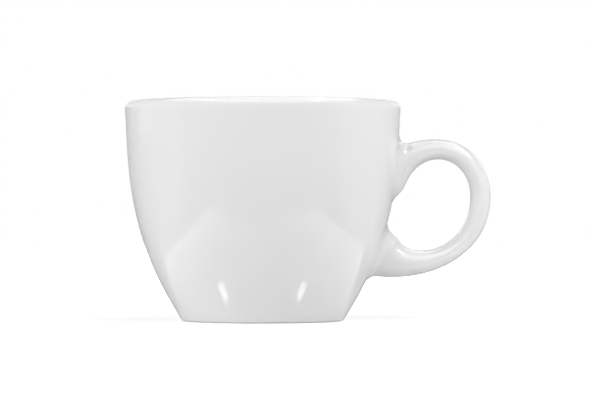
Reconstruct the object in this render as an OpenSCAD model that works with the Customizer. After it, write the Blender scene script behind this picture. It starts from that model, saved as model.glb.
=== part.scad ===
// Espresso cup: a thick porcelain bowl on a turned foot ring, with an ear-shaped
// handle that two joints of slip hold to the wall. Sizes are in millimetres.
// The cup's axis is Z, the table is z = 0 and the handle points along +X.

/* [Bowl] */
// Outer diameter of the lip
rim_d = 64; // [52:0.5:76]
// Height from the table to the top of the lip
cup_h = 51; // [42:0.5:62]
// Thickness of the wall, which also rounds the lip
wall_t = 3.2; // [2.4:0.1:4.2]
// Lean of the wall under the lip, in degrees
rim_taper = 3.5; // [0:0.5:8]
// Length of the nearly upright stretch under the lip
rim_pull = 13; // [8:0.5:18]
// Lean of the wall where it leaves the foot, in degrees
foot_slope = 33.5; // [26:0.5:42]
// Height of the round bottom of the bowl above its flat floor
bowl_h = 16; // [11:0.5:20]
// Diameter of the flat floor inside
floor_d = 16; // [8:0.5:22]
// Thickness of the floor over the recess
floor_t = 4.4; // [3:0.1:6]

/* [Foot ring] */
// Diameter of the foot at the table, before its edge is rounded
foot_d = 37.4; // [30:0.1:45]
// Rounding of the outer edge of the foot
foot_round = 0.9; // [0.4:0.1:1.6]
// Width of the bare flat face that the cup stands on
ring_w = 3.2; // [2:0.1:5]
// Rounding of the inner edge of the foot ring
ring_round = 0.5; // [0.2:0.1:0.7]
// Depth of the recess inside the foot ring
recess_h = 1.8; // [1.5:0.1:3]
// Radius of the cove between the ring and the recess
cove_r = 0.8; // [0.3:0.1:0.8]

/* [Handle] */
// How far the handle stands out past the lip
handle_reach = 21; // [16:0.5:28]
// How far the handle's middle sits above half the cup's height
handle_lift = -0.3; // [-2:0.1:2]
// Distance between the middles of the two feet of the handle
handle_span = 20.2; // [18:0.1:24]
// How far the outermost point of the loop sits above the handle's middle
loop_rise = 3.6; // [0:0.1:6]
// Thickness of the strap, seen from the side
strap_t = 4.7; // [3.5:0.1:6]
// Width of the strap, seen from the end
strap_w = 7.4; // [5.5:0.1:10]
// Squareness of the strap's section, where 2 is an ellipse
strap_square = 2.4; // [2:0.1:4]
// Height of the upper foot on the wall
upper_foot_h = 12; // [9:0.1:14.5]
// Width of the upper foot
upper_foot_w = 8.8; // [7:0.1:11]
// Height of the lower foot on the wall
lower_foot_h = 9.6; // [7.5:0.1:12]
// Width of the lower foot
lower_foot_w = 8.4; // [7:0.1:11]

/* [Handle curves] */
// Heading of the back as it leaves the upper foot, in degrees
upper_back_a = 15; // [5:1:25]
// Length over which the back keeps that heading
upper_back_pull = 15; // [11:0.5:18]
// Length of the upper back that turns into the outermost point
upper_back_end = 6.7; // [4:0.1:10]
// Heading of the inside as it leaves the upper foot, in degrees
upper_inside_a = 81; // [70:1:90]
// Length over which the inside keeps that heading
upper_inside_pull = 12.2; // [9:0.1:15]
// Length of the upper inside that turns into the outermost point
upper_inside_end = 10; // [7:0.1:13]
// Heading of the back as it leaves the lower foot, in degrees
lower_back_a = -6; // [-14:1:2]
// Length over which the back keeps that heading
lower_back_pull = 15.2; // [11:0.1:18]
// Length of the lower back that turns into the outermost point
lower_back_end = 12.2; // [9:0.1:15]
// Heading of the inside as it leaves the lower foot, in degrees
lower_inside_a = -93; // [-100:1:-80]
// Length over which the inside keeps that heading
lower_inside_pull = 6.9; // [5:0.1:9]
// Length of the lower inside that turns into the outermost point
lower_inside_end = 13.4; // [10:0.1:16]

/* [Slip joints] */
// Thickness of the slip between the handle and the wall
slip_t = 0.4; // [0.2:0.1:0.8]
// Size of the upper fillet above the foot
upper_fillet_out = 2.1; // [1.4:0.1:2.8]
// Size of the upper fillet inside the loop
upper_fillet_in = 2.3; // [1.6:0.1:3]
// Size of the lower fillet below the foot
lower_fillet_out = 1.6; // [1.2:0.1:2.4]
// Size of the lower fillet inside the loop
lower_fillet_in = 3.3; // [2.2:0.1:4]
// Clearance between the slip's flat facets and the round wall
seat_gap = 0.03; // [0.02:0.01:0.1]
// Angle at which the slip runs out on the wall and on the handle, in degrees
slip_toe = 20; // [12:1:30]

/* [Hidden] */
$fn = 256;
// Steps along the wall, around a small rounding, along half the handle and around its section
wall_steps = 28;
arc_steps = 8;
loop_steps = 36;
section_steps = 40;
fillet_steps = 6;
seat_steps = 3;
porcelain = [0.93, 0.93, 0.92];
fired_slip = [0.89, 0.89, 0.88];

// Points on curves
function heading(a) = [cos(a), sin(a)];
function mix(a, b, t) = a + (b - a) * t;
function ease(t) = t <= 0 ? 0 : t >= 1 ? 1 : t * t * (3 - 2 * t);
function curve(p, t) =
    pow(1 - t, 3) * p[0] + 3 * pow(1 - t, 2) * t * p[1] + 3 * (1 - t) * t * t * p[2] + pow(t, 3) * p[3];
function curve_heading(p, t) =
    let (v = pow(1 - t, 2) * (p[1] - p[0]) + 2 * (1 - t) * t * (p[2] - p[1]) + t * t * (p[3] - p[2]))
    v / norm(v);
function arc(centre, r, from, to) =
    [for (i = [0 : arc_steps]) centre + r * heading(mix(from, to, i / arc_steps))];

// Outer wall, as [radius, height], from under the lip down to the table
lip_r = wall_t / 2;
lip_centre = [rim_d / 2 - lip_r, cup_h - lip_r];
wall_top = lip_centre + lip_r * heading(-rim_taper);
foot_edge = [foot_d / 2, 0];
foot_pull = (rim_d - foot_d) / 2 / sin(foot_slope);
wall_curve = [
    wall_top,
    wall_top - rim_pull * heading(90 - rim_taper),
    foot_edge + foot_pull * heading(90 - foot_slope),
    foot_edge
];
wall_points = [for (i = [0 : wall_steps - 1]) curve(wall_curve, i / wall_steps)];
wall_table = [for (p = concat([foot_edge], [for (i = [wall_steps - 1 : -1 : 0]) wall_points[i]])) [p.y, p.x]];
function wall_r(z) = lookup(z, wall_table);

// Inner wall, at an even distance from the outer one down to the round of the bowl
floor_z = recess_h + floor_t;
function inner_point(t) =
    let (v = curve_heading(wall_curve, t))
    curve(wall_curve, t) - wall_t * [-v.y, v.x];
inner_table = [for (i = [wall_steps : -1 : 0]) [inner_point(i / wall_steps).y, i / wall_steps]];
bowl_t = lookup(floor_z + bowl_h, inner_table);
bowl_edge = inner_point(bowl_t);
bowl_heading = curve_heading(wall_curve, bowl_t);
bowl_corner = bowl_edge + bowl_heading * (floor_z - bowl_edge.y) / bowl_heading.y;
floor_edge = [floor_d / 2, floor_z];
bowl_fullness = 0.6;
bowl_curve = [
    bowl_edge,
    mix(bowl_edge, bowl_corner, bowl_fullness),
    mix(floor_edge, bowl_corner, bowl_fullness),
    floor_edge
];
inner_points = concat(
    [for (i = [1 : wall_steps - 1]) inner_point(bowl_t * i / wall_steps)],
    [for (i = [0 : wall_steps]) curve(bowl_curve, i / wall_steps)]
);

// Foot ring: rounded outside edge, bare flat face, rounded inside edge and cove
foot_centre = foot_edge + [-foot_round * tan((90 - foot_slope) / 2), foot_round];
ring_centre = [foot_centre.x - ring_w, ring_round];
cove_centre = [ring_centre.x - ring_round - cove_r, recess_h - cove_r];
foot_points = concat(
    [[0, recess_h]],
    arc(cove_centre, cove_r, 90, 0),
    arc(ring_centre, ring_round, 180, 270),
    arc(foot_centre, foot_round, -90, -foot_slope)
);

// Rails of the handle, as [x, z]: back and inside, each from a foot to the outermost point
handle_z = cup_h / 2 + handle_lift;
loop_z = handle_z + loop_rise;
back_x = rim_d / 2 + handle_reach;
inside_x = back_x - strap_t;
function rail(foot_z, fillet, a, pull, end_x, end_pull) =
    let (start = [wall_r(foot_z) + fillet, foot_z])
    [start, start + pull * heading(a), [end_x, loop_z + end_pull], [end_x, loop_z]];

// A foot of the handle is a list of these; the half height is negative where the back lies below
MID_Z = 0;
HALF_H = 1;
HALF_W = 2;
FILLET_OUT = 3;
FILLET_IN = 4;
upper_z = handle_z + handle_span / 2;
lower_z = handle_z - handle_span / 2;
upper_foot = [upper_z, upper_foot_h / 2, upper_foot_w / 2, upper_fillet_out, upper_fillet_in];
lower_foot = [lower_z, -lower_foot_h / 2, lower_foot_w / 2, lower_fillet_out, lower_fillet_in];
function back_z(foot) = foot[MID_Z] + foot[HALF_H];
function inside_z(foot) = foot[MID_Z] - foot[HALF_H];

// Half of the handle is its foot, its two rails and the power by which the back trails the inside,
// so that the sections stand square to the strap
FOOT = 0;
BACK = 1;
INSIDE = 2;
TRAIL = 3;
upper_trail = 2.1;
lower_trail = 1.4;
upper_half = [
    upper_foot,
    rail(back_z(upper_foot), upper_fillet_out, upper_back_a, upper_back_pull, back_x, upper_back_end),
    rail(inside_z(upper_foot), upper_fillet_in, upper_inside_a, upper_inside_pull, inside_x,
         upper_inside_end),
    upper_trail
];
lower_half = [
    lower_foot,
    rail(back_z(lower_foot), lower_fillet_out, lower_back_a, lower_back_pull, back_x, -lower_back_end),
    rail(inside_z(lower_foot), lower_fillet_in, lower_inside_a, lower_inside_pull, inside_x,
         -lower_inside_end),
    lower_trail
];

// Section of the strap, where angle 0 lies on the back and 180 on the inside
function power(v, e) = sign(v) * pow(abs(v), e);
function section(a) = [power(cos(a), 2 / strap_square), power(sin(a), 2 / strap_square)];
function section_slope(a) = [power(cos(a), 2 - 2 / strap_square), power(sin(a), 2 - 2 / strap_square)];
angles = [for (i = [0 : section_steps - 1]) 360 * i / section_steps];

// Point near the wall: at angle a around a foot, off the wall by lift and out past the foot's edge by
// spread. A share below 1 draws it in towards the middle of the foot.
function foot_point(foot, a, lift, spread = 0, share = 1) =
    let (
        s = share * section(a),
        slope = [section_slope(a).x / abs(foot[HALF_H]), section_slope(a).y / foot[HALF_W]],
        out = spread * slope / norm(slope),
        y = foot[HALF_W] * s.y + out.y,
        z = foot[MID_Z] + foot[HALF_H] * s.x + sign(foot[HALF_H]) * out.x,
        r = wall_r(z) + lift
    )
    [sqrt(r * r - y * y), y, z];
function foot_ring(foot, lift, share = 1) = [for (a = angles) foot_point(foot, a, lift, 0, share)];
function foot_middle(foot, lift) = foot_point(foot, 0, lift, 0, 0);
function fillet_size(foot, a) = mix(foot[FILLET_IN], foot[FILLET_OUT], (1 + cos(a)) / 2);

// Section of the handle at a share q of the way from a foot to the outermost point: flat across the
// strap, and bent to the round of the wall near the foot
flare_end = 0.5;
seat_end = 0.3;
function flat_point(half, q, a) =
    let (
        back = curve(half[BACK], pow(q, half[TRAIL])),
        inside = curve(half[INSIDE], q),
        s = section(a),
        p = mix(inside, back, (1 + s.x) / 2)
    )
    [p.x, mix(half[FOOT][HALF_W], strap_w / 2, ease(q / flare_end)) * s.y, p.y];
function handle_point(half, q, a) =
    let (seat = foot_point(half[FOOT], a, fillet_size(half[FOOT], a)) - flat_point(half, 0, a))
    flat_point(half, q, a) + seat * (1 - ease(q / seat_end));
function handle_ring(half, q) = [for (a = angles) handle_point(half, q, a)];

// Hollow section of a fillet of size 1, as [lift, spread]: an arc from the wall at t = 0 to the handle
// at t = 1, bowed into the corner between them
corner_a = 45;
fillet_bend = corner_a - slip_toe;
fillet_r = cos(corner_a) / sin(fillet_bend);
fillet_centre = (1 / 2 + fillet_r * cos(fillet_bend) * cos(corner_a)) * [1, 1];
function fillet_point(t) = fillet_centre - fillet_r * heading(corner_a + fillet_bend * (2 * t - 1));
function fillet_ring(foot, t) =
    [for (a = angles) let (f = fillet_size(foot, a) * fillet_point(t)) foot_point(foot, a, f.x, f.y)];
// Ring on the wall, under the fillet, at a share t of the way from the foot's edge to the fillet's toe
function seat_ring(foot, t) =
    [for (a = angles) foot_point(foot, a, seat_gap, t * fillet_size(foot, a))];

// Closed skin over a stack of rings, with a point in the middle of each end. The end face of a foot has
// one more ring, part of the way in, so that it follows the wall.
cap_share = 0.5;
module skin(rings, first, last) {
    n = section_steps;
    top = len(rings) - 1;
    points = concat([first, last], [for (ring = rings) each ring]);
    function at(k, i) = 2 + k * n + i % n;
    faces = concat(
        [for (i = [0 : n - 1]) [0, at(0, i), at(0, i + 1)]],
        [for (k = [0 : top - 1], i = [0 : n - 1]) each [
            [at(k, i), at(k + 1, i), at(k + 1, i + 1)],
            [at(k, i), at(k + 1, i + 1), at(k, i + 1)]
        ]],
        [for (i = [0 : n - 1]) [1, at(top, i + 1), at(top, i)]]
    );
    polyhedron(points, faces);
}

module slip_joint(foot) {
    rings = concat(
        [foot_ring(foot, seat_gap, cap_share)],
        [for (i = [0 : seat_steps]) seat_ring(foot, i / seat_steps)],
        [for (i = [1 : fillet_steps]) fillet_ring(foot, i / fillet_steps)],
        [foot_ring(foot, slip_t), foot_ring(foot, slip_t, cap_share)]
    );
    skin(rings, foot_middle(foot, seat_gap), foot_middle(foot, slip_t));
}

module cup_body() {
    color(porcelain)
        rotate_extrude()
            polygon(concat(
                foot_points,
                [for (i = [wall_steps - 1 : -1 : 1]) wall_points[i]],
                arc(lip_centre, lip_r, -rim_taper, 180 - rim_taper),
                inner_points,
                [[0, floor_z]]
            ));
}

module handle() {
    upper_rings = [for (i = [0 : loop_steps]) handle_ring(upper_half, i / loop_steps)];
    lower_rings = [for (i = [loop_steps - 1 : -1 : 0]) handle_ring(lower_half, i / loop_steps)];
    rings = concat(
        [foot_ring(upper_foot, slip_t, cap_share), foot_ring(upper_foot, slip_t)],
        upper_rings,
        lower_rings,
        [foot_ring(lower_foot, slip_t), foot_ring(lower_foot, slip_t, cap_share)]
    );
    color(porcelain)
        skin(rings, foot_middle(upper_foot, slip_t), foot_middle(lower_foot, slip_t));
}

module upper_slip_joint() {
    color(fired_slip) slip_joint(upper_foot);
}

module lower_slip_joint() {
    color(fired_slip) slip_joint(lower_foot);
}

cup_body();
handle();
upper_slip_joint();
lower_slip_joint();
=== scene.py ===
"""Espresso cup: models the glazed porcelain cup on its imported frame, on a pale studio floor."""

import math
from collections import namedtuple

import bmesh
import bpy
from bpy.props import FloatProperty, FloatVectorProperty, PointerProperty
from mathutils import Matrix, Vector


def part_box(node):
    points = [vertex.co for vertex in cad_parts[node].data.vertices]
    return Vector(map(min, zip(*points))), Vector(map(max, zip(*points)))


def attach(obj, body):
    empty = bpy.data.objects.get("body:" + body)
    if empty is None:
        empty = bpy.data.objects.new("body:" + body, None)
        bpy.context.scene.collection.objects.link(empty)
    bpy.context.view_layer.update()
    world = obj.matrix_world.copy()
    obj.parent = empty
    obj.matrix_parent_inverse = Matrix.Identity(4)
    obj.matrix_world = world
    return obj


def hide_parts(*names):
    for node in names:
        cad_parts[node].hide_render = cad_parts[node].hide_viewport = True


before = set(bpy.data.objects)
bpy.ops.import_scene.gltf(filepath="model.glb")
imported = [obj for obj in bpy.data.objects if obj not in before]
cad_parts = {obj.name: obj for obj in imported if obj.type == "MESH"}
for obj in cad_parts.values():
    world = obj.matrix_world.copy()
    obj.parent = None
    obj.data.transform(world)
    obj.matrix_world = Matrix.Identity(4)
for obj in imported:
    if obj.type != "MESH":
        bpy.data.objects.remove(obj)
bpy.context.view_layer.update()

bl_info = {
    "name": "Espresso Cup",
    "version": (1, 0, 0),
    "blender": (4, 5, 0),
    "location": "View3D > Sidebar > Espresso Cup",
    "description": "Models a glazed porcelain espresso cup with a looped handle, and its studio stage",
    "category": "Add Mesh",
}

MM = 0.001
BODY_LOW, BODY_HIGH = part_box("cup_body")
HANDLE_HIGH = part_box("handle")[1]

# Steps and points of the shapes before they are smoothed, and how often they are smoothed.
WALL_STEPS = 20
RISE_STEPS = 10
LIP_STEPS = 8
CORNER_STEPS = 4
TURN_STEPS = 64
RING_POINTS = 24
LOOP_STEPS = 16
FILLET_STEPS = 6
SMOOTH_LEVELS = 2

# How often a search along a curve halves it, and the share to each side that gives its direction.
HALVINGS = 40
NUDGE = 1e-4

# Fullness of the curve inside the bowl, power of the fillets' inner slope, and share of a loop's
# half over which the strap takes its own width.
BOWL_FULLNESS = 0.6
CHAMFER = 0.6
FLARE_END = 0.5

# How near points are merged, in metres, and how near a point of the first round ring is taken.
MERGE = 1e-6
RING_NEAR = 1e-3

# The sharpest edge that shades smooth, and in millimetres how far a fillet's toe sinks into the wall
# and how far a parted edge looks for its shading.
SHARP_EDGE = math.radians(50)
TOE_SINK = 0.004
SEAM_REACH = 0.01

# The glaze: scale and detail of each of its clouds and the middle of their values, the peel's share
# of the waves, their depth in millimetres, the tone where it is thin, and its range of gloss.
WAVES = (70, 1)
PEEL = (600, 2)
MOTTLE = (40, 3)
CLOUD_MIDDLE = 0.5
PEEL_SHARE = 0.03
WAVE_DEPTH = 0.05
THIN_SHARE = 0.985
GLOSS_RANGE = 0.02

# The bare ring under the foot: its height and the fade above it in millimetres, and its roughness.
BARE_TOP = 0.3
BARE_FADE = 0.1
BARE_ROUGH = 0.6

# The floor: its reach and the ring over which it turns white in metres, and the roughness of its sheen.
FLOOR_REACH = 1.5
FLOOR_SIDES = 96
FLOOR_FADE = (0.015, 0.12)
FLOOR_POLISH = 0.08

# Painted reflections that the glaze mirrors of the floor, in millimetres: the lit board in front of the
# cup with its leaning left edge and its middle darkened by painted shade, the mats beside it, and the
# cup's painted shadow that widens behind it.
BOARD_LEFT = 54.8
BOARD_LEAN = 0.15
BOARD_RIGHT = 65.5
BOARD_FRONT = -70
BOARD_EDGE = 2
BOARD_SHADE = (8, 60)
MAT_WIDE = (56, 120)
MAT_FAN = 2.5
MAT_SOFT = 30
SHADOW_START = 20
SHADOW_LEAN = 0.354

# The glowing card behind the cup, a painted reflection that only the glaze mirrors, in millimetres.
FLAG_BACK = 600
FLAG_WIDE = 1900
FLAG_TALL = 80

# The two lamps and the two panels that only the glaze mirrors: the way to each, and its distance and
# size in metres.
LAMP_WAY = (0.556, -0.318, 0.768)
LAMP_DISTANCE = 3
LAMP_SIZE = (0.34, 0.34)
TOP_WAY = (0.05, -0.1, 1)
TOP_DISTANCE = 1.5
TOP_SIZE = (2.8, 3.0)
HIGH_WAY = (0, -0.75, 0.66)
HIGH_SIZE = (2.0, 1.3)

# The lights that only spread, in the same terms.
LEFT_WAY = (-1, 0, 0.3)
RIGHT_WAY = (1, 0, 0.3)
FRONT_WAY = (-0.7, -0.7, 0.3)
BACK_WAY = (0.1, 1, 0.3)
PANEL_DISTANCE = 1.2
PANEL_SIZE = (1.3, 0.9)
OVER_WAY = (0.05, 0.1, 1)
OVER_DISTANCE = 1.4
OVER_SIZE = (1.6, 2.0)
FILL_WAY = (120, -150, 150)
FILL_DISTANCE = 0.244
LOW_WAY = (200, -60, 30)
LOW_DISTANCE = 0.21
FILL_SIZE = (0.08, 0.08)

# The camera's place across and up, and the width of its sensor, in millimetres.
CAMERA_ACROSS = 7.6
CAMERA_HEIGHT = 26.4
SENSOR_WIDTH = 36


def length(name, description, millimetres):
    """A length property, with its default in millimetres."""
    return FloatProperty(
        name=name, description=description, default=millimetres * MM, unit="LENGTH", precision=4
    )


def angle(name, description, degrees):
    """An angle property, with its default in degrees."""
    return FloatProperty(
        name=name, description=description, default=math.radians(degrees), unit="ROTATION"
    )


def number(name, description, default):
    """A plain number property."""
    return FloatProperty(name=name, description=description, default=default, precision=3)


def colour(name, description, grey):
    """A colour property, with its default a neutral grey."""
    return FloatVectorProperty(
        name=name, description=description, default=(grey, grey, grey), subtype="COLOR", min=0, max=1
    )


class BowlSizes(bpy.types.PropertyGroup):
    """The turned bowl, measured on its profile."""

    rim_diameter: length("Rim diameter", "Outside diameter at the lip", (BODY_HIGH.x - BODY_LOW.x) / MM)
    height: length("Height", "Height from the foot to the lip", BODY_HIGH.z / MM)
    wall: length("Wall", "Thickness of the wall, which the lip rounds over", 3.2)
    rim_taper: angle("Rim taper", "How far the wall leans out just under the lip", 3.5)
    rim_pull: length("Rim pull", "How far down the wall keeps the lean of the rim", 13)
    foot_slope: angle("Foot slope", "How steeply the wall leaves the foot, from upright", 33.5)
    foot_diameter: length("Foot diameter", "Outside diameter where the wall meets the foot", 37.4)
    foot_round: length("Foot rounding", "Radius of the foot's outer corner", 0.9)
    ring_width: length("Foot ring width", "Width of the ring that the cup stands on", 3.2)
    ring_round: length("Foot ring rounding", "Radius of the ring's inner corner", 0.5)
    recess: length("Recess", "Depth of the hollow under the cup", 1.8)
    cove: length("Cove", "Radius in the corner of the hollow", 0.8)
    floor: length("Floor", "Thickness of the floor over the hollow", 4.4)
    floor_flat: length("Flat of the floor", "Diameter of the level floor inside", 16)
    bowl_rise: length("Bowl rise", "Height over which the inside curves up from the floor", 16)


class HandleSizes(bpy.types.PropertyGroup):
    """The looped handle and the slip fillets that join it to the wall."""

    back: length("Back", "Distance of the loop's back from the cup's axis", HANDLE_HIGH.x / MM)
    middle: length("Middle", "Height of the loop's outermost point", 28.8)
    strap: length("Strap thickness", "Thickness of the strap at the back of the loop", 4.7)
    strap_width: length("Strap width", "Width of the strap at the back of the loop", 7.4)
    square: number("Squareness", "Power of the strap's oval section: 2 is a plain oval", 2.05)
    upper_top: length("Upper foot top", "Height of the upper foot's top", 41.3)
    upper_bottom: length("Upper foot bottom", "Height of the upper foot's underside", 30.5)
    upper_width: length("Upper foot width", "Width of the upper foot", 8.8)
    lower_top: length("Lower foot top", "Height of the lower foot's top", 19.3)
    lower_bottom: length("Lower foot bottom", "Height of the lower foot's underside", 10.3)
    lower_width: length("Lower foot width", "Width of the lower foot", 8.4)
    slip: length("Slip", "Thickness of the slip between a foot and the wall", 0.4)


class GlazeLook(bpy.types.PropertyGroup):
    """Colours and gloss of the porcelain."""

    white: colour("Glaze", "Colour of the glazed porcelain", 0.8)
    pooled: colour("Pooled glaze", "Colour where the glaze lies thicker", 0.803)
    biscuit: colour("Biscuit", "Colour of the bare ring that the cup stands on", 0.7)
    gloss: number("Roughness", "Roughness of the glaze", 0.02)
    ripple: number("Ripple", "Strength of the glaze's faint waves", 0.5)


class StageLook(bpy.types.PropertyGroup):
    """Floor, lights and camera."""

    floor: colour("Floor", "Colour of the floor", 0.8)
    lift: number("Floor lift", "How much whiter the floor shows than its light makes it", 0.4)
    sheen: number("Floor sheen", "Share of the lamps that the floor mirrors into the glaze", 0.08)
    # Painted reflections of the floor as the glaze mirrors them: the lit board, its painted shade, the
    # mats and the cup's painted shadow.
    board_middle_painted_shade: number("Board middle", "Brightness of the board in front, mirrored in the cup", 0.45)
    board_side: number("Board sides", "Brightness of the board beside the cup, mirrored in it", 1.5)
    mat_side: number("Side mats", "Brightness beside the board, mirrored in the cup", 0.6)
    mat_wide: number("Wide floor", "Brightness far beside the board, mirrored in the cup", 0.5)
    painted_back_shadow: number("Back mat", "Brightness behind the cup, mirrored in it", 0.33)
    # Painted reflection: the glow of the card behind the cup, dimmer than the white surroundings, which
    # the glaze mirrors at its edges.
    flag: number("Back card", "Brightness of the card behind the cup, mirrored in it", 0.43)
    lamps: number("Lamps", "Power in watts of the two lamps that the glaze mirrors", 24.0)
    panel_left: number("Left panel", "Power of the left panel in watts", 2.85)
    panel_right: number("Right panel", "Power of the right panel in watts", 7.3)
    panel_front: number("Front panel", "Power of the panel at the front left in watts", 12.85)
    panel_back: number("Back panel", "Power of the panel behind the cup in watts", 7.0)
    over: number("Overhead panel", "Power in watts of the soft light from overhead", 2.9)
    fill_low: number("Low fill", "Power of the small light low by the handle in watts", 0.0625)
    fill: number("Handle fill", "Power of the small light by the handle in watts", 0.114)
    high: number("High panel", "Power in watts of the panel high at the front, mirrored in the lip", 8.0)
    top: number("Top panel", "Power of the panel overhead in watts", 76.0)
    distance: length("Camera distance", "Distance of the camera from the cup's axis", 700)
    lens: number("Lens", "Focal length in millimetres", 183.4)


def values(group):
    """One of the scene's groups of values."""
    return getattr(bpy.context.scene, group)


# Curves in the cup's upright plane: a point is its distance from the axis and its height.

def heading(degrees):
    """The direction at an angle up from level."""
    return Vector((math.cos(math.radians(degrees)), math.sin(math.radians(degrees))))


def curve(points, share):
    """The point at a share of the way along a cubic curve."""
    start, pull, end_pull, end = points
    rest = 1 - share
    return (
        start * rest**3 + pull * (3 * rest**2 * share)
        + end_pull * (3 * rest * share**2) + end * share**3
    )


def hold(step):
    """How far points a step apart stand outside the circle that smoothing draws from them."""
    return 3 / (2 + math.cos(step))


def arc(centre, radius, start, end, steps):
    """Points round an arc, in degrees, that smooth to its radius."""
    step = (end - start) / steps
    reach = radius * hold(math.radians(step))
    return [centre + heading(start + step * i) * reach for i in range(steps + 1)]


def wall_curve(bowl):
    """The outside of the wall from the lip down to the foot."""
    taper, slope = math.degrees(bowl.rim_taper), math.degrees(bowl.foot_slope)
    lip = Vector((bowl.rim_diameter / 2 - bowl.wall / 2, bowl.height - bowl.wall / 2))
    top = lip + heading(-taper) * bowl.wall / 2
    foot = Vector((bowl.foot_diameter / 2, 0))
    spread = (bowl.rim_diameter - bowl.foot_diameter) / 2 / math.sin(bowl.foot_slope)
    return top, top - heading(90 - taper) * bowl.rim_pull, foot + heading(90 - slope) * spread, foot


def share_at(path, height):
    """How far along a falling path lies a height."""
    low, high = 0.0, 1.0
    for _ in range(HALVINGS):
        middle = (low + high) / 2
        if path(middle).y > height:
            low = middle
        else:
            high = middle
    return low


def wall_radius(bowl, height):
    """Radius of the wall's outside at a height."""
    points = wall_curve(bowl)
    return curve(points, share_at(lambda share: curve(points, share), height)).x


def bowl_profile(bowl):
    """The bowl's section, from the middle of the hollow under it round to the middle of its floor."""
    slope, taper = math.degrees(bowl.foot_slope), math.degrees(bowl.rim_taper)
    cove, ring_round, foot_round = bowl.cove, bowl.ring_round, bowl.foot_round
    foot_r = bowl.foot_diameter / 2 - foot_round * math.tan(math.radians(90 - slope) / 2)
    ring_r = foot_r - bowl.ring_width
    cove_r = ring_r - ring_round - cove
    floor_z = bowl.recess + bowl.floor
    outer = wall_curve(bowl)
    lip = Vector((bowl.rim_diameter / 2 - bowl.wall / 2, bowl.height - bowl.wall / 2))

    def along(share):
        """The way that the wall falls."""
        return (curve(outer, share + NUDGE) - curve(outer, share - NUDGE)).normalized()

    def inner(share):
        """The inside of the wall, a wall's thickness in from the outside."""
        return curve(outer, share) + Vector((along(share).y, -along(share).x)) * bowl.wall

    profile = [Vector((0, bowl.recess)), Vector((cove_r / 2, bowl.recess))]
    profile += arc(Vector((cove_r, bowl.recess - cove)), cove, 90, 0, CORNER_STEPS)
    profile += arc(Vector((ring_r, ring_round)), ring_round, 180, 270, CORNER_STEPS)
    profile += arc(Vector((foot_r, foot_round)), foot_round, 270, 360 - slope, CORNER_STEPS)
    profile += [curve(outer, 1 - i / WALL_STEPS) for i in range(1, WALL_STEPS)]
    profile += arc(lip, bowl.wall / 2, -taper, 180 - taper, LIP_STEPS)
    rise_share = share_at(inner, floor_z + bowl.bowl_rise)
    profile += [inner(rise_share * i / WALL_STEPS) for i in range(1, WALL_STEPS)]
    edge, floor_edge = inner(rise_share), Vector((bowl.floor_flat / 2, floor_z))
    corner = edge + along(rise_share) * (floor_z - edge.y) / along(rise_share).y
    rise = (
        edge, edge.lerp(corner, BOWL_FULLNESS),
        floor_edge.lerp(corner, BOWL_FULLNESS), floor_edge,
    )
    profile += [curve(rise, i / RISE_STEPS) for i in range(RISE_STEPS + 1)]
    profile += [Vector((floor_edge.x / 2, floor_z)), Vector((0, floor_z))]
    return [Vector((point.x, max(point.y, 0))) for point in profile]


class Wire:
    """A value in a node tree that takes part in plain arithmetic."""

    def __init__(self, finish, socket):
        self.finish, self.socket = finish, socket

    def maths(self, operation, first, second):
        """The result of a Math node on two values."""
        return self.finish.node(
            "ShaderNodeMath", {"operation": operation}, {"Value": first, "Value_001": second}
        )

    def __add__(self, other):
        return self.maths("ADD", self, other)

    def __sub__(self, other):
        return self.maths("SUBTRACT", self, other)

    def __rsub__(self, other):
        return self.maths("SUBTRACT", other, self)

    def __mul__(self, other):
        return self.maths("MULTIPLY", self, other)

    def __truediv__(self, other):
        return self.maths("DIVIDE", self, other)

    __radd__ = __add__
    __rmul__ = __mul__

    def held(self):
        """The value, kept from 0 to 1."""
        return self.finish.node("ShaderNodeClamp", {}, {"Value": self})

    def size(self):
        """The value without its sign."""
        return self.finish.node("ShaderNodeMath", {"operation": "ABSOLUTE"}, {"Value": self})

    def ramp(self, start, end):
        """A gentle rise from 0 to 1 between two values."""
        return self.finish.node(
            "ShaderNodeMapRange", {"interpolation_type": "SMOOTHSTEP"},
            {"Value": self, "From Min": start, "From Max": end},
        )

    def blend(self, first, second):
        """A share of the way from one value to another."""
        return first * (1 - self) + self * second


class Finish:
    """Builds the node tree of a material or of the surroundings."""

    def __init__(self, owner):
        self.owner = owner
        owner.use_nodes = True
        self.tree = owner.node_tree
        self.tree.nodes.clear()

    def node(self, kind, settings=None, inputs=None, output=None):
        """Adds a node, sets it up, joins its inputs and gives back one of its outputs."""
        node = self.tree.nodes.new(kind)
        for name, value in (settings or {}).items():
            setattr(node, name, value)
        sockets = {socket.identifier: socket for socket in node.inputs}
        for name, value in (inputs or {}).items():
            if isinstance(value, Wire):
                self.tree.links.new(value.socket, sockets[name])
            else:
                sockets[name].default_value = value
        outputs = {socket.identifier: socket for socket in node.outputs}
        if not outputs:
            return None
        return Wire(self, outputs[output] if output else node.outputs[0])

    def between(self, share, first, second):
        """A colour a share of the way from one to another."""
        return self.node(
            "ShaderNodeMix", {"data_type": "RGBA"},
            {"Factor_Float": share, "A_Color": first, "B_Color": second}, "Result_Color",
        )

    def seen(self):
        """1 for what the camera sees, straight, mirrored or through glass, and 0 for spread light."""
        rays = [
            self.node("ShaderNodeLightPath", output=ray)
            for ray in ("Is Camera Ray", "Is Glossy Ray", "Is Transmission Ray")
        ]
        return (rays[0] + rays[1] + rays[2]).held()


def opaque(grey):
    """A colour property as a node's colour."""
    return (*grey, 1)


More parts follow.
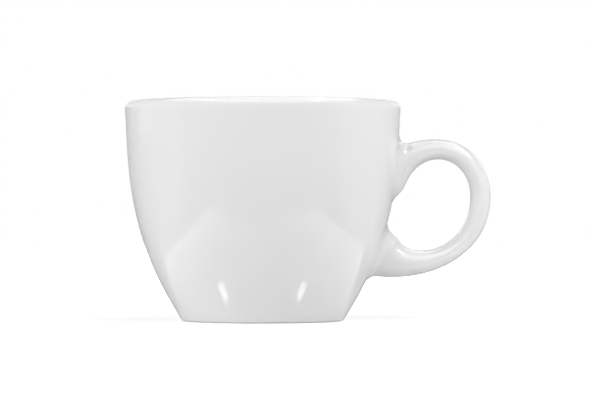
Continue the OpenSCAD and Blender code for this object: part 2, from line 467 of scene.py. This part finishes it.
def glaze(name, tone, look):
    """Glossy porcelain glaze with faint waves, and a bare ring where the cup stands."""
    finish = Finish(bpy.data.materials.new(name))
    place = finish.node("ShaderNodeTexCoord", output="Object")

    def cloud(scale, detail):
        """A soft pattern of values from 0 to 1."""
        return finish.node(
            "ShaderNodeTexNoise", {}, {"Vector": place, "Scale": scale, "Detail": detail}, "Fac"
        )

    height = finish.node("ShaderNodeSeparateXYZ", {}, {"Vector": place}, "Z")
    waves, peel, mottle = cloud(*WAVES), cloud(*PEEL), cloud(*MOTTLE)
    bare = ((BARE_TOP * MM - height) / (BARE_FADE * MM) + mottle - CLOUD_MIDDLE).held()
    thin = tuple(channel * THIN_SHARE for channel in tone)
    glazed = finish.between(mottle, opaque(thin), opaque(tone))
    bump = finish.node(
        "ShaderNodeBump", {},
        {"Strength": look.ripple, "Distance": WAVE_DEPTH * MM, "Height": waves + peel * PEEL_SHARE},
        "Normal",
    )
    shader = finish.node("ShaderNodeBsdfPrincipled", {}, {
        "Base Color": finish.between(bare, glazed, opaque(look.biscuit)),
        "Roughness": bare * BARE_ROUGH + mottle * GLOSS_RANGE + look.gloss,
        "Normal": bump,
    })
    finish.node("ShaderNodeOutputMaterial", {}, {"Surface": shader})
    return finish.owner


def paint(piece, material):
    """Gives a piece one material all over."""
    piece.data.materials.clear()
    piece.data.materials.append(material)


def painted_board_reflection(finish, look):
    """Painted reflections: how bright the lit white board, its painted shade and the mats round it show
    mirrored in the glaze.
    """
    place = finish.node("ShaderNodeTexCoord", output="Object")
    across, along = (
        finish.node("ShaderNodeSeparateXYZ", {}, {"Vector": place}, axis) * (1 / MM)
        for axis in "XY"
    )
    side = across.size()
    # Painted shade: the board shows darker in its middle, in front of the cup, and brighter towards its
    # sides.
    board = side.ramp(*BOARD_SHADE).blend(look.board_middle_painted_shade, look.board_side)
    beside = side.ramp(*MAT_WIDE).blend(look.mat_side, look.mat_wide)
    around = (side + along * MAT_FAN).ramp(-MAT_SOFT, MAT_SOFT) * beside
    past = across - BOARD_RIGHT, along * BOARD_LEAN - across - BOARD_LEFT, BOARD_FRONT - along
    within = [edge.ramp(BOARD_EDGE, 0) for edge in past]
    painted_tones = (within[0] * within[1] * within[2]).blend(around, board)
    # Painted shadow of the cup on the floor, widening behind it past a leaning line from beside the
    # foot.
    behind = along - (side - SHADOW_START) * SHADOW_LEAN
    return behind.ramp(-BOARD_EDGE, 0).blend(painted_tones, look.painted_back_shadow)


def pale(name, look):
    """The floor: a plain pale surface that shows white, with the shadow of what stands on it, and
    painted reflections for the glaze.
    """
    finish = Finish(bpy.data.materials.new(name))
    straight = finish.node("ShaderNodeLightPath", output="Is Camera Ray")
    mirrored = finish.node("ShaderNodeLightPath", output="Is Glossy Ray")
    cloth = finish.node("ShaderNodeBsdfDiffuse", {}, {"Color": opaque(look.floor)})
    place = finish.node("ShaderNodeTexCoord", output="Object")
    away = finish.node("ShaderNodeVectorMath", {"operation": "LENGTH"}, {"Vector": place}, "Value")
    white = away.ramp(*FLOOR_FADE).blend(look.lift, 1)
    lift = finish.node("ShaderNodeEmission", {}, {"Color": straight * white})
    floor = finish.node("ShaderNodeAddShader", {}, {"Shader": cloth, "Shader_001": lift})
    polish = finish.node(
        "ShaderNodeBsdfGlossy", {},
        {"Color": opaque((look.sheen, look.sheen, look.sheen)), "Roughness": FLOOR_POLISH},
    )
    # Painted reflection: a glow that only mirrored rays see, standing for the lit board, its shade and
    # the cup's shadow.
    painted_tones = finish.node("ShaderNodeEmission", {}, {"Color": painted_board_reflection(finish, look)})
    board = finish.node("ShaderNodeAddShader", {}, {"Shader": painted_tones, "Shader_001": polish})
    both = finish.node(
        "ShaderNodeMixShader", {}, {"Fac": mirrored, "Shader": floor, "Shader_001": board}
    )
    finish.node("ShaderNodeOutputMaterial", {}, {"Surface": both})
    return finish.owner


def card_face(name, brightness):
    """The glowing face of a card, a painted reflection that only shows mirrored in the glaze."""
    finish = Finish(bpy.data.materials.new(name))
    face = finish.node("ShaderNodeEmission", {}, {"Strength": brightness})
    finish.node("ShaderNodeOutputMaterial", {}, {"Surface": face})
    return finish.owner


def card(name, place, turned, wide, tall, brightness):
    """Sets up a glowing card, a painted reflection the camera never sees straight, turned by degrees
    about each axis.
    """
    start_piece()
    bpy.ops.mesh.primitive_plane_add(
        size=1, location=place, rotation=tuple(math.radians(degrees) for degrees in turned)
    )
    piece = bpy.context.object
    piece.name = name
    piece.scale = (wide, tall, 1)
    paint(piece, card_face(name, brightness))
    piece.visible_camera = piece.visible_shadow = piece.visible_diffuse = False
    piece.visible_transmission = piece.visible_volume_scatter = False


def hang_light(name, way, distance, size, power):
    """Hangs a light that faces the cup from a direction."""
    way = Vector(way).normalized()
    bpy.ops.object.light_add(type="AREA", location=way * distance)
    light = bpy.context.object
    light.name = light.data.name = name
    light.rotation_euler = way.to_track_quat("Z", "Y").to_euler()
    light.data.shape = "RECTANGLE"
    light.data.size, light.data.size_y = size
    light.data.energy = power
    light.visible_camera = False
    return light


def start_piece():
    """Leaves edit mode and selects nothing, ready for a new primitive."""
    if bpy.context.object and bpy.context.object.mode != "OBJECT":
        bpy.ops.object.mode_set(mode="OBJECT")
    bpy.ops.object.select_all(action="DESELECT")


def pick(piece):
    """Selects one object alone, in object mode."""
    start_piece()
    piece.select_set(True)
    bpy.context.view_layer.objects.active = piece


def smooth(piece):
    """Subdivides a piece smoothly and applies it."""
    pick(piece)
    layer = piece.modifiers.new("smooth", "SUBSURF")
    layer.levels = layer.render_levels = SMOOTH_LEVELS
    bpy.ops.object.modifier_apply(modifier=layer.name)
    bpy.ops.object.shade_smooth()


def lathe(name, profile):
    """Draws a profile point by point and spins it into a closed turned piece."""
    start_piece()
    bpy.ops.mesh.primitive_plane_add(size=MM, enter_editmode=True, location=(0, 0, 0))
    piece = bpy.context.object
    piece.name = piece.data.name = name
    bpy.ops.mesh.merge(type="CENTER")
    here = Vector((0, 0))
    for there in profile:
        step = {"value": (there.x - here.x, 0, there.y - here.y)}
        if there is profile[0]:
            bpy.ops.transform.translate(**step)
        else:
            bpy.ops.mesh.extrude_vertices_move(TRANSFORM_OT_translate=step)
        here = there
    bpy.ops.mesh.select_all(action="SELECT")
    bpy.ops.mesh.spin(steps=TURN_STEPS, angle=2 * math.pi, center=(0, 0, 0), axis=(0, 0, 1))
    bpy.ops.mesh.select_all(action="SELECT")
    bpy.ops.mesh.remove_doubles(threshold=MERGE)
    bpy.ops.mesh.normals_make_consistent(inside=False)
    bpy.ops.object.mode_set(mode="OBJECT")
    return piece


# A rail leaves a foot at a heading in degrees, with its pulls in millimetres. A foot's trail is the
# power that spaces the sections along its back. Its lifts off the wall and its spreads over the wall
# are in millimetres.
Rail = namedtuple("Rail", "heading pull end_pull")
Foot = namedtuple("Foot", "back inside trail out_lift out_spread in_lift in_spread side_spread")
Section = namedtuple("Section", "back inside width seat")

UPPER = Foot(
    back=Rail(15, 15, 6.7), inside=Rail(72, 11.3, 10), trail=2.1,
    out_lift=2.3, out_spread=2.3, in_lift=2.1, in_spread=3.4, side_spread=4.5,
)
LOWER = Foot(
    back=Rail(-6, 15.2, 12.2), inside=Rail(-72, 5.7, 13.4), trail=1.4,
    out_lift=1.7, out_spread=1.5, in_lift=3.2, in_spread=3.6, side_spread=4.5,
)


def rail(start, way, end, side):
    """The rail of a loop's half from a foot to the loop's outermost point."""
    return (
        start, start + heading(way.heading) * way.pull * MM,
        end + Vector((0, side * way.end_pull * MM)), end,
    )


def half_loop(bowl, handle, foot, top, bottom, foot_width, side):
    """Sections from a foot's toe on the wall to the loop's back; side is 1 above and -1 below."""
    back_z, inside_z = (top, bottom) if side > 0 else (bottom, top)
    back_start = Vector((wall_radius(bowl, back_z) + foot.out_lift * MM, back_z))
    inside_start = Vector((wall_radius(bowl, inside_z) + foot.in_lift * MM, inside_z))
    outermost = Vector((handle.back, handle.middle))
    innermost = Vector((handle.back - handle.strap, handle.middle))
    back = rail(back_start, foot.back, outermost, side)
    inside = rail(inside_start, foot.inside, innermost, side)
    sections = []
    over = side * foot.back.heading
    end = heading(-over)
    for i in range(FILLET_STEPS):
        sweep = heading(90 - (90 + over) * i / FILLET_STEPS)
        rise = (1 - sweep.y) / (1 - end.y)
        cove = (1 - sweep.x / end.x) * MM
        chamfer = (1 - rise ** CHAMFER) * MM
        sections.append(Section(
            back_start + Vector((0, side * foot.out_spread * cove)),
            inside_start - Vector((0, side * foot.in_spread * chamfer)),
            foot_width + 2 * foot.side_spread * max(cove, 0), 1 - math.sqrt(rise),
        ))
    for i in range(LOOP_STEPS + 1):
        share = i / LOOP_STEPS
        flare = 1 - max(1 - share / FLARE_END, 0) ** 2
        sections.append(Section(
            curve(back, share ** foot.trail), curve(inside, share),
            foot_width + (handle.strap_width - foot_width) * flare, 0,
        ))
    return sections


def ear_sections(bowl, handle):
    """All the sections of the handle and its fillets, from the upper toe to the lower toe."""
    upper = half_loop(
        bowl, handle, UPPER, handle.upper_top, handle.upper_bottom, handle.upper_width, 1
    )
    lower = half_loop(
        bowl, handle, LOWER, handle.lower_top, handle.lower_bottom, handle.lower_width, -1
    )
    return upper + lower[-2::-1]


def section_place(section):
    """Centre, tilt, half height and half width of a section."""
    middle = (section.back + section.inside) / 2
    across = section.back - section.inside
    return (
        Vector((middle.x, 0, middle.y)), math.atan2(across.y, across.x),
        across.length / 2, section.width / 2,
    )


def turn(tilt, centre):
    """Turns the selection in the handle's plane, from level towards up."""
    if tilt:
        bpy.ops.transform.rotate(value=tilt, orient_axis="Y", center_override=centre)


def select_points(piece, test):
    """Selects the points of the piece in edit mode that pass a test."""
    bpy.ops.mesh.select_all(action="DESELECT")
    mesh = bmesh.from_edit_mesh(piece.data)
    for point in mesh.verts:
        point.select_set(test(point))
    mesh.select_flush_mode()
    bmesh.update_edit_mesh(piece.data)


def square_ring(piece, power):
    """Pushes a round ring's points out to a squarer oval, an eighth of it with its mirror images."""
    for i in range(1, RING_POINTS // 8 + 1):
        at = 2 * math.pi * i / RING_POINTS
        reach = (math.cos(at) ** power + math.sin(at) ** power) ** (-1 / power)
        low, high = sorted((math.cos(at), math.sin(at)))
        select_points(piece, lambda point: (
            abs(min(abs(point.co.x), abs(point.co.y)) - low) < RING_NEAR
            and abs(max(abs(point.co.x), abs(point.co.y)) - high) < RING_NEAR
        ))
        bpy.ops.transform.resize(value=(reach, reach, 1), center_override=(0, 0, 0))


def join_group(piece, name, weight):
    """Puts the selected points into a named group, or out of it where the weight is nothing."""
    group = piece.vertex_groups.get(name) or piece.vertex_groups.new(name=name)
    piece.vertex_groups.active_index = group.index
    bpy.context.scene.tool_settings.vertex_group_weight = weight
    if weight:
        bpy.ops.object.vertex_group_assign()
    else:
        bpy.ops.object.vertex_group_remove_from()


def loft_ear(sections, power):
    """Extrudes one oval ring from section to section along the loop."""
    start_piece()
    bpy.ops.mesh.primitive_circle_add(
        vertices=RING_POINTS, radius=1, enter_editmode=True, location=(0, 0, 0)
    )
    ear = bpy.context.object
    ear.name = ear.data.name = "loop_handle"
    square_ring(ear, power)
    bpy.ops.mesh.select_all(action="SELECT")
    gain = hold(2 * math.pi / RING_POINTS)
    centre, tilt, tall, wide = Vector((0, 0, 0)), 0.0, 1 / gain, 1 / gain
    for i, section in enumerate(sections):
        if i:
            bpy.ops.mesh.extrude_region_move()
        to_centre, to_tilt, to_tall, to_wide = section_place(section)
        turn(-tilt, centre)
        bpy.ops.transform.resize(
            value=(to_tall / tall, to_wide / wide, 1), center_override=centre
        )
        turn(to_tilt, centre)
        bpy.ops.transform.translate(value=to_centre - centre)
        centre, tilt, tall, wide = to_centre, to_tilt, to_tall, to_wide
        join_group(ear, "seat", section.seat)
        join_group(ear, "upper_slip", i < FILLET_STEPS)
        join_group(ear, "lower_slip", i >= len(sections) - FILLET_STEPS)
    bpy.ops.mesh.select_all(action="SELECT")
    bpy.ops.mesh.normals_make_consistent(inside=False)
    bpy.ops.object.mode_set(mode="OBJECT")
    return ear


def seat_on(piece, bowl, group, lift):
    """Slides a group of points towards the axis on to the bowl's wall."""
    pick(piece)
    layer = piece.modifiers.new("seat", "SHRINKWRAP")
    layer.target = bowl
    layer.wrap_method = "PROJECT"
    layer.wrap_mode = "ABOVE_SURFACE" if lift > 0 else "ON_SURFACE"
    layer.use_project_x = True
    layer.use_negative_direction = True
    layer.use_positive_direction = False
    layer.offset = lift
    layer.vertex_group = group
    bpy.ops.object.modifier_apply(modifier=layer.name)


def mark_slip(ear):
    """Gives the fillets' faces material slots of their own."""
    pick(ear)
    for name in ("loop", "upper_slip", "lower_slip"):
        ear.data.materials.append(bpy.data.materials.new(name))
    bpy.ops.object.mode_set(mode="EDIT")
    for slot, name in ((1, "upper_slip"), (2, "lower_slip")):
        bpy.ops.mesh.select_all(action="DESELECT")
        ear.vertex_groups.active_index = ear.vertex_groups[name].index
        bpy.ops.object.vertex_group_select()
        ear.active_material_index = slot
        bpy.ops.object.material_slot_assign()
    bpy.ops.object.mode_set(mode="OBJECT")


def highest(piece, axis):
    """How far a piece reaches along an axis."""
    return max(point.co[axis] for point in piece.data.vertices)


def open_rims(piece):
    """The open edge loops of the piece in edit mode, as sets of point numbers, the longest first."""
    mesh = bmesh.from_edit_mesh(piece.data)
    mesh.verts.ensure_lookup_table()
    left = {edge for edge in mesh.edges if edge.is_boundary}
    rims = []
    while left:
        front = [next(iter(left))]
        rim = set()
        span = 0.0
        while front:
            edge = front.pop()
            if edge in left:
                left.remove(edge)
                span += edge.calc_length()
                rim.add(edge)
                front += [near for point in edge.verts for near in point.link_edges if near in left]
        rims.append((span, {point.index for edge in rim for point in edge.verts}))
    rims.sort(key=lambda rim: -rim[0])
    return [points for span, points in rims]


def draw_in(piece, points, bowl, lift):
    """Extrudes an open rim of the piece in edit mode and slides it in to the bowl's wall."""
    select_points(piece, lambda point: point.index in points)
    bpy.ops.mesh.extrude_region_move()
    join_group(piece, "foot", 1)
    seat_on(piece, bowl, "foot", lift)
    piece.vertex_groups.remove(piece.vertex_groups["foot"])
    bpy.ops.object.mode_set(mode="EDIT")


def finish_closed(piece):
    """Turns a closed piece's faces outwards and keeps only its hidden edges sharp."""
    bpy.ops.mesh.select_all(action="SELECT")
    bpy.ops.mesh.normals_make_consistent(inside=False)
    pick(piece)
    bpy.ops.object.shade_smooth_by_angle(angle=SHARP_EDGE)
    piece.vertex_groups.clear()


def close_fillet(piece, bowl):
    """Closes a fillet round the handle's foot and against the wall."""
    pick(piece)
    bpy.ops.object.mode_set(mode="EDIT")
    bpy.ops.mesh.select_mode(type="VERT")
    draw_in(piece, open_rims(piece)[1], bowl, -TOE_SINK * MM)
    rims = open_rims(piece)
    select_points(piece, lambda point: point.index in rims[0] | rims[1])
    bpy.ops.mesh.bridge_edge_loops()
    finish_closed(piece)


def close_handle(piece, bowl, slip):
    """Carries both ends of the loop in to the wall, less the slip, and closes them."""
    pick(piece)
    bpy.ops.object.mode_set(mode="EDIT")
    bpy.ops.mesh.select_mode(type="VERT")
    rims = open_rims(piece)
    draw_in(piece, rims[0] | rims[1], bowl, slip)
    bpy.ops.mesh.select_all(action="SELECT")
    bpy.ops.mesh.fill_holes(sides=0)
    finish_closed(piece)


def take_shading(piece, source, group=""):
    """Takes a piece's shading from what it lies against, over a group or along a parted edge."""
    pick(piece)
    layer = piece.modifiers.new("shading", "DATA_TRANSFER")
    layer.object = source
    layer.use_loop_data = True
    layer.data_types_loops = {"CUSTOM_NORMAL"}
    layer.loop_mapping = "POLYINTERP_NEAREST" if group else "NEAREST_POLYNOR"
    layer.vertex_group = group
    layer.use_max_distance = not group
    layer.max_distance = SEAM_REACH * MM
    bpy.ops.object.modifier_apply(modifier=layer.name)


def lay_floor(look):
    """Lays the pale floor that the cup stands on."""
    start_piece()
    bpy.ops.mesh.primitive_circle_add(
        vertices=FLOOR_SIDES, radius=FLOOR_REACH, fill_type="NGON", location=(0, 0, 0)
    )
    floor = bpy.context.object
    floor.name = "studio_floor"
    paint(floor, pale("pale_floor", look))


def hang_lights(look):
    """Hangs the lights that only the glaze mirrors, then those that only spread."""
    left_lamp = -LAMP_WAY[0], *LAMP_WAY[1:]
    for name, way, distance, size, power in (
        ("lamp_left", left_lamp, LAMP_DISTANCE, LAMP_SIZE, look.lamps),
        ("lamp_right", LAMP_WAY, LAMP_DISTANCE, LAMP_SIZE, look.lamps),
        ("panel_top", TOP_WAY, TOP_DISTANCE, TOP_SIZE, look.top),
        ("panel_high", HIGH_WAY, TOP_DISTANCE, HIGH_SIZE, look.high),
    ):
        hang_light(name, way, distance, size, power).visible_diffuse = False
    for name, way, distance, size, power in (
        ("panel_left", LEFT_WAY, PANEL_DISTANCE, PANEL_SIZE, look.panel_left),
        ("panel_right", RIGHT_WAY, PANEL_DISTANCE, PANEL_SIZE, look.panel_right),
        ("panel_front", FRONT_WAY, PANEL_DISTANCE, PANEL_SIZE, look.panel_front),
        ("panel_back", BACK_WAY, PANEL_DISTANCE, PANEL_SIZE, look.panel_back),
        ("panel_over", OVER_WAY, OVER_DISTANCE, OVER_SIZE, look.over),
        ("fill_handle", FILL_WAY, FILL_DISTANCE, FILL_SIZE, look.fill),
        ("fill_low", LOW_WAY, LOW_DISTANCE, FILL_SIZE, look.fill_low),
    ):
        hang_light(name, way, distance, size, power).visible_glossy = False


def surround():
    """Makes the surroundings white to the camera and the glaze, with no light that spreads."""
    around = Finish(bpy.data.worlds.new("studio"))
    sky = around.node("ShaderNodeBackground", {}, {"Color": around.seen()})
    around.node("ShaderNodeOutputWorld", {}, {"Surface": sky})
    bpy.context.scene.world = around.owner


def aim_camera(look):
    """Sets up the camera, level with the cup as in the photo."""
    bpy.ops.object.camera_add(
        location=(CAMERA_ACROSS * MM, -look.distance, CAMERA_HEIGHT * MM),
        rotation=(math.pi / 2, 0, 0),
    )
    camera = bpy.context.object
    camera.data.lens = look.lens
    camera.data.sensor_width = SENSOR_WIDTH
    bpy.context.scene.camera = camera


class EspressoCupBowl(bpy.types.Operator):
    """Turn the porcelain bowl with its rounded lip and foot ring"""

    bl_idname = "espresso_cup.bowl"
    bl_label = "Bowl"

    def execute(self, context):
        look = values("glaze_look")
        bowl = lathe("porcelain_bowl", bowl_profile(values("bowl_sizes")))
        pick(bowl)
        bpy.ops.object.mode_set(mode="EDIT")
        bpy.ops.mesh.select_all(action="SELECT")
        gain = hold(2 * math.pi / TURN_STEPS)
        bpy.ops.transform.resize(value=(gain, gain, 1), center_override=(0, 0, 0))
        smooth(bowl)
        paint(bowl, glaze("porcelain_glaze", look.white, look))
        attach(bowl, "root")
        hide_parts("cup_body")
        return {"FINISHED"}


class EspressoCupHandle(bpy.types.Operator):
    """Loft the looped handle and its slip fillets, and seat them on the bowl"""

    bl_idname = "espresso_cup.handle"
    bl_label = "Handle"

    def execute(self, context):
        bowl = bpy.data.objects["porcelain_bowl"]
        handle = values("handle_sizes")
        ear = loft_ear(ear_sections(values("bowl_sizes"), handle), handle.square)
        seat_on(ear, bowl, "seat", -TOE_SINK * MM)
        mark_slip(ear)
        smooth(ear)
        seat_on(ear, bowl, "seat", -TOE_SINK * MM)
        take_shading(ear, bowl, "seat")
        return {"FINISHED"}


class EspressoCupJoints(bpy.types.Operator):
    """Part the two slip fillets from the handle and close each piece where it meets the others"""

    bl_idname = "espresso_cup.joints"
    bl_label = "Slip joints"

    def execute(self, context):
        bowl = bpy.data.objects["porcelain_bowl"]
        ear = bpy.data.objects["loop_handle"]
        pick(ear)
        bpy.ops.object.duplicate()
        whole = context.object
        pick(ear)
        bpy.ops.object.mode_set(mode="EDIT")
        bpy.ops.mesh.separate(type="MATERIAL")
        bpy.ops.object.mode_set(mode="OBJECT")
        parts = sorted(context.selected_objects, key=lambda piece: highest(piece, 0))
        if len(parts) != 3:
            raise RuntimeError("the handle did not part into a loop and two fillets")
        lower, upper = sorted(parts[:2], key=lambda piece: highest(piece, 2))
        look = values("glaze_look")
        slip = glaze("slip_glaze", look.pooled, look)
        for piece, name, node in (
            (upper, "upper_slip_fillet", "upper_slip_joint"),
            (lower, "lower_slip_fillet", "lower_slip_joint"),
        ):
            piece.name = piece.data.name = name
            close_fillet(piece, bowl)
            paint(piece, slip)
            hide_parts(node)
        loop = parts[2]
        loop.name = loop.data.name = "loop_handle"
        close_handle(loop, bowl, values("handle_sizes").slip)
        paint(loop, bowl.data.materials[0])
        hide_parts("handle")
        for piece in parts:
            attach(piece, "root")
            take_shading(piece, whole)
        pick(whole)
        bpy.ops.object.delete()
        return {"FINISHED"}


class EspressoCupStage(bpy.types.Operator):
    """Lay the floor, hang the lights and set up the camera"""

    bl_idname = "espresso_cup.stage"
    bl_label = "Stage"

    def execute(self, context):
        look = values("stage_look")
        lay_floor(look)
        hang_lights(look)
        surround()
        # Painted reflection: a glowing card behind the cup that only the glaze mirrors.
        card(
            "painted_reflection_back", (0, FLAG_BACK * MM, FLAG_TALL * MM / 2), (90, 0, 0),
            FLAG_WIDE * MM, FLAG_TALL * MM, look.flag,
        )
        aim_camera(look)
        context.scene.view_settings.view_transform = "Standard"
        return {"FINISHED"}


class EspressoCupPanel(bpy.types.Panel):
    """The cup's values and the buttons that make it"""

    bl_idname = "VIEW3D_PT_espresso_cup"
    bl_label = "Espresso Cup"
    bl_space_type = "VIEW_3D"
    bl_region_type = "UI"
    bl_category = "Espresso Cup"

    def draw(self, context):
        for name in GROUPS:
            box = self.layout.box()
            group = getattr(context.scene, name)
            for field in group.bl_rna.properties:
                if field.identifier not in ("rna_type", "name"):
                    box.prop(group, field.identifier)
        for operator in OPERATORS:
            self.layout.operator(operator.bl_idname)


GROUPS = {
    "bowl_sizes": BowlSizes,
    "handle_sizes": HandleSizes,
    "glaze_look": GlazeLook,
    "stage_look": StageLook,
}
OPERATORS = (EspressoCupBowl, EspressoCupHandle, EspressoCupJoints, EspressoCupStage)


def register():
    """Registers the values, the operators and the sidebar panel."""
    for group in GROUPS.values():
        bpy.utils.register_class(group)
    for name, group in GROUPS.items():
        setattr(bpy.types.Scene, name, PointerProperty(type=group))
    for operator in OPERATORS:
        bpy.utils.register_class(operator)
    bpy.utils.register_class(EspressoCupPanel)


def unregister():
    """Takes back what register adds."""
    bpy.utils.unregister_class(EspressoCupPanel)
    for operator in reversed(OPERATORS):
        bpy.utils.unregister_class(operator)
    for name in GROUPS:
        delattr(bpy.types.Scene, name)
    for group in reversed(list(GROUPS.values())):
        bpy.utils.unregister_class(group)


def main():
    """Makes the cup and its stage."""
    register()
    bpy.ops.espresso_cup.bowl()
    bpy.ops.espresso_cup.handle()
    bpy.ops.espresso_cup.joints()
    bpy.ops.espresso_cup.stage()


if __name__ == "__main__":
    main()
